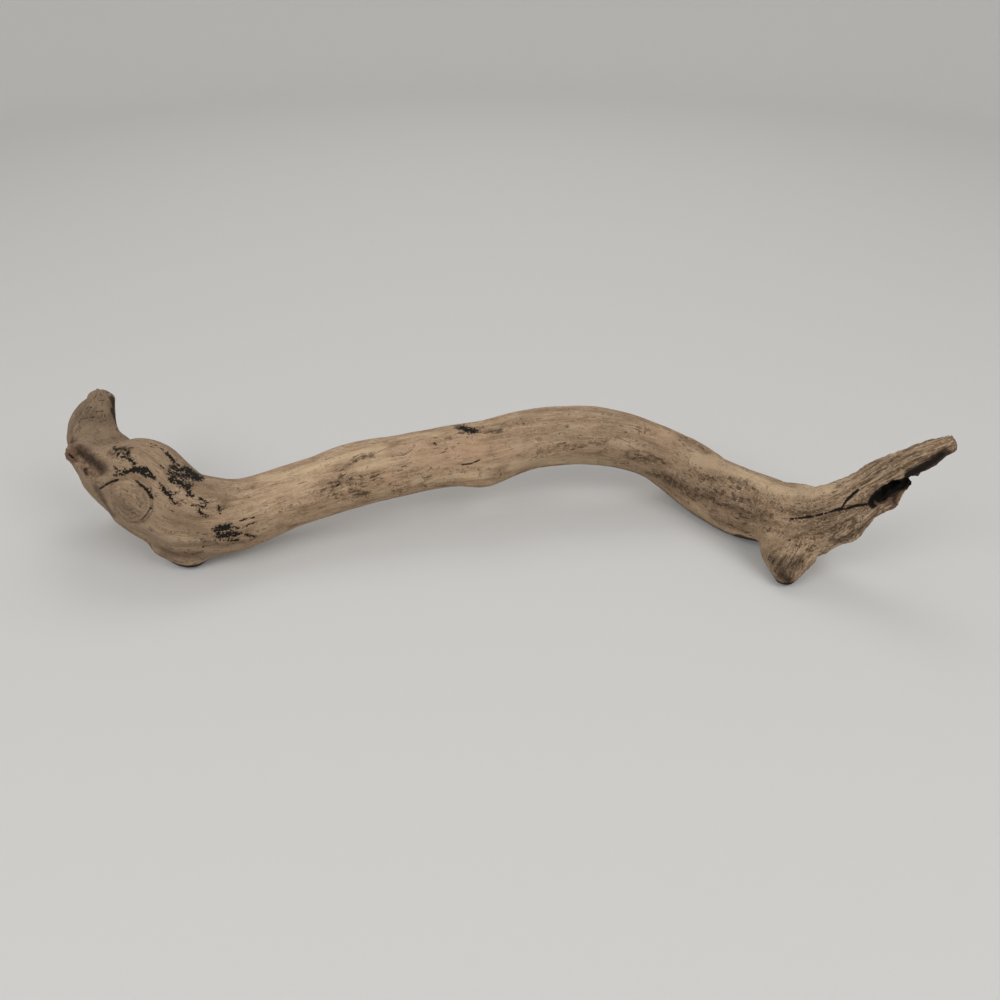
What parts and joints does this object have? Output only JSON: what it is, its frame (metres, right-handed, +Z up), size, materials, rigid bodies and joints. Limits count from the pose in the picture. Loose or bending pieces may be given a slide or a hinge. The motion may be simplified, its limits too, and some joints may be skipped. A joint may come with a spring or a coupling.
{
  "type": "driftwood branch",
  "caption": "Bowed driftwood branch with a knotted burl and a short prong at one end and a split, hollowed fork with a long tapering prong at the other.",
  "frame": {"origin": "centre of the bounding box in X and Y, at the height of the flat spots that the branch rests on", "axes": "+X along the branch from the burl to the forked end, +Y from its front to its back, +Z up"},
  "size_m": [0.5674, 0.1312, 0.1042],
  "materials": {
    "weathered_wood": "bare, dry and matt, tan to grey brown, with fine open grain"
  },
  "bodies": {
    "root": {"driftwood_branch": "weathered_wood"}
  },
  "joints": []
}
